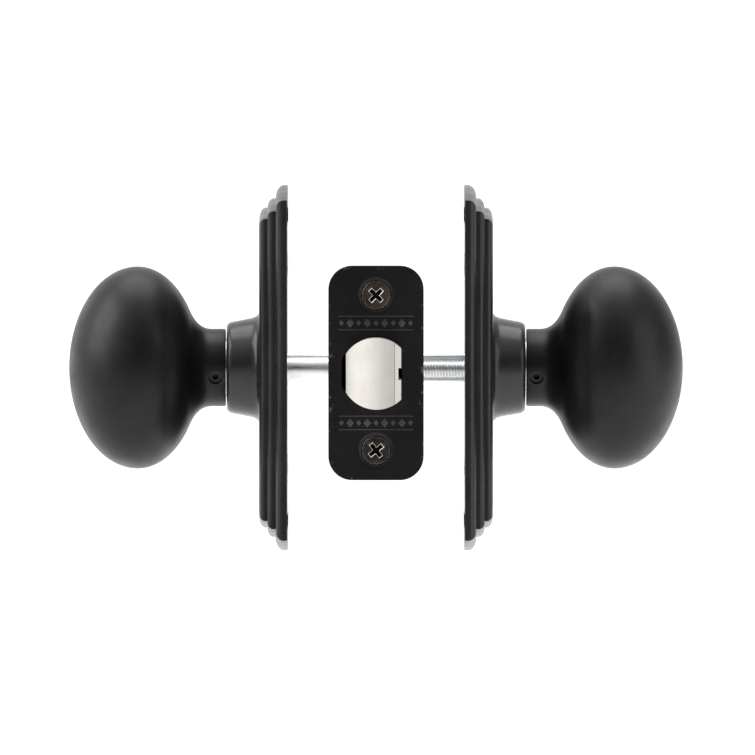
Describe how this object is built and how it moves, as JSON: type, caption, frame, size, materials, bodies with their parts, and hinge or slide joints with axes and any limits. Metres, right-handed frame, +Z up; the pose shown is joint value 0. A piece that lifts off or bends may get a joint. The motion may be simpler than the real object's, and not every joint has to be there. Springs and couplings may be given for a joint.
{
  "type": "door knob set",
  "caption": "Passage knob set for a timber door: satin black egg knobs on stepped rectangular rosettes, square spindle and tubular spring latch.",
  "frame": {"origin": "where the spindle's axis meets the latch's axis, in the middle of the door's thickness", "axes": "+X along the spindle towards the inside knob, -Y out of the door's edge through the latch bolt, +Z up"},
  "size_m": [0.1654, 0.1079, 0.0984],
  "materials": {
    "satin_black": "satin, very dark warm black",
    "faceplate_black": "semi-gloss black with small scuffs",
    "satin_nickel": "satin nickel",
    "screw_bronze": "darkened, rims worn bright",
    "zinc_plate": "zinc plated",
    "spring_steel": "drawn wire",
    "black_oxide": "black oxide",
    "nylon": "natural nylon"
  },
  "bodies": {
    "root": {"outside_rosette": "satin_black", "outside_collar": "satin_black", "outside_bushing": "nylon", "outside_mounting_plate": "zinc_plate", "outside_spring_cassette": "zinc_plate", "outside_return_spring": "spring_steel", "inside_rosette": "satin_black", "inside_collar": "satin_black", "inside_bushing": "nylon", "inside_mounting_plate": "zinc_plate", "inside_spring_cassette": "zinc_plate", "inside_return_spring": "spring_steel", "threaded_posts": "zinc_plate", "through_bolts": "zinc_plate", "faceplate": "faceplate_black", "backing_plate": "zinc_plate", "faceplate_screws": "screw_bronze", "latch_barrel": "zinc_plate", "latch_case_left": "zinc_plate", "latch_case_right": "zinc_plate", "spring_stop": "zinc_plate", "bolt_spring": "spring_steel"},
    "knob_set": {"outside_knob": "satin_black", "outside_drive_cam": "zinc_plate", "outside_knob_shank": "zinc_plate", "outside_snap_ring": "spring_steel", "outside_thrust_washer": "zinc_plate", "outside_set_screw": "black_oxide", "inside_knob": "satin_black", "inside_drive_cam": "zinc_plate", "inside_knob_shank": "zinc_plate", "inside_snap_ring": "spring_steel", "inside_thrust_washer": "zinc_plate", "inside_set_screw": "black_oxide", "spindle": "zinc_plate", "latch_hub": "zinc_plate"},
    "latch": {"latch_bolt": "satin_nickel", "bolt_tail": "zinc_plate"}
  },
  "joints": [
    {"name": "knob_turn", "type": "hinge", "parent": "root", "child": "knob_set", "pos_m": [0, 0, 0], "axis": [1, 0, 0], "range_deg": [0, 76], "stiffness_Nm_per_rad": 0.15, "springref_deg": -40.11, "deforming": ["outside_return_spring", "inside_return_spring"]},
    {"name": "bolt_retract", "type": "slide", "parent": "root", "child": "latch", "axis": [0, 1, 0], "range_m": [0, 0.0127], "deforming": ["bolt_spring"]}
  ],
  "couplings": [
    {"joint": "bolt_retract", "follows": "knob_turn", "m_per_rad": 0.0095744}
  ]
}
